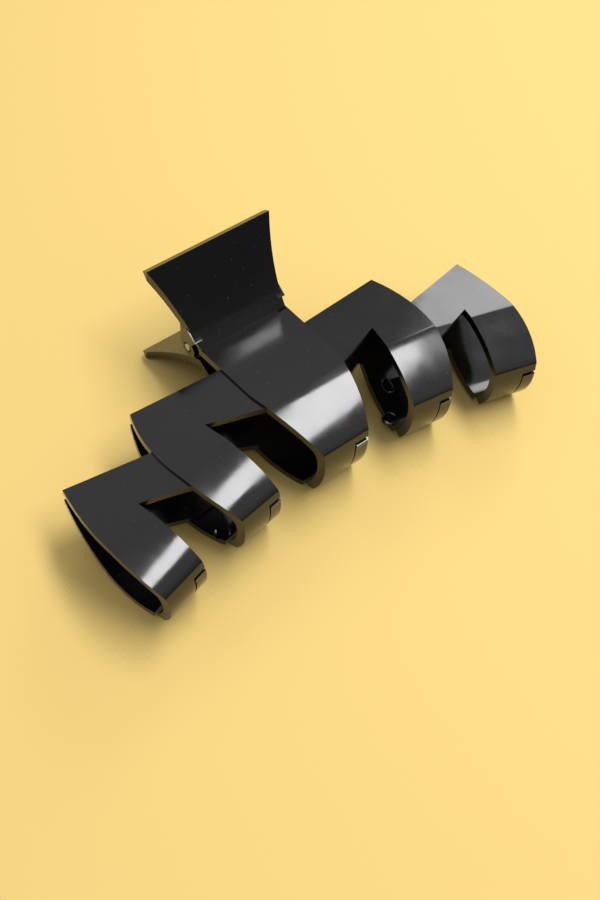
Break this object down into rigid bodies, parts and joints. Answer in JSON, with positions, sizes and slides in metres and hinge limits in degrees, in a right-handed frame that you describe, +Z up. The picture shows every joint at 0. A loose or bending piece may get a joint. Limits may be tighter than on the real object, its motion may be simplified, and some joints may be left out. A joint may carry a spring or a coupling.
{
  "type": "hair claw clip",
  "caption": "Large claw clip with two moulded plastic jaws, wide overlapping claws and flared thumb pads, closed by a torsion spring on a steel hinge pin.",
  "frame": {"origin": "middle of the bounding box, on the surface that the closed clip lies on", "axes": "+X along the hinge pin, +Y towards the claws, +Z up from the surface"},
  "size_m": [0.1214, 0.0718, 0.0396],
  "materials": {
    "upper_plastic": "high gloss moulded black with fine scuffs",
    "lower_plastic": "high gloss moulded black with fine scuffs",
    "pin_steel": "plain drawn wire",
    "spring_steel": "plain drawn wire"
  },
  "bodies": {
    "lower": {"lower_jaw": "lower_plastic", "hinge_pin": "pin_steel", "torsion_spring": "spring_steel"},
    "upper": {"upper_jaw": "upper_plastic"}
  },
  "joints": [
    {"name": "jaw_hinge", "type": "hinge", "parent": "lower", "child": "upper", "pos_m": [0, -0.01919, 0.01792], "axis": [1, 0, 0], "range_deg": [0, 38], "stiffness_Nm_per_rad": 0.06, "springref_deg": -68.75, "deforming": ["torsion_spring"]}
  ]
}
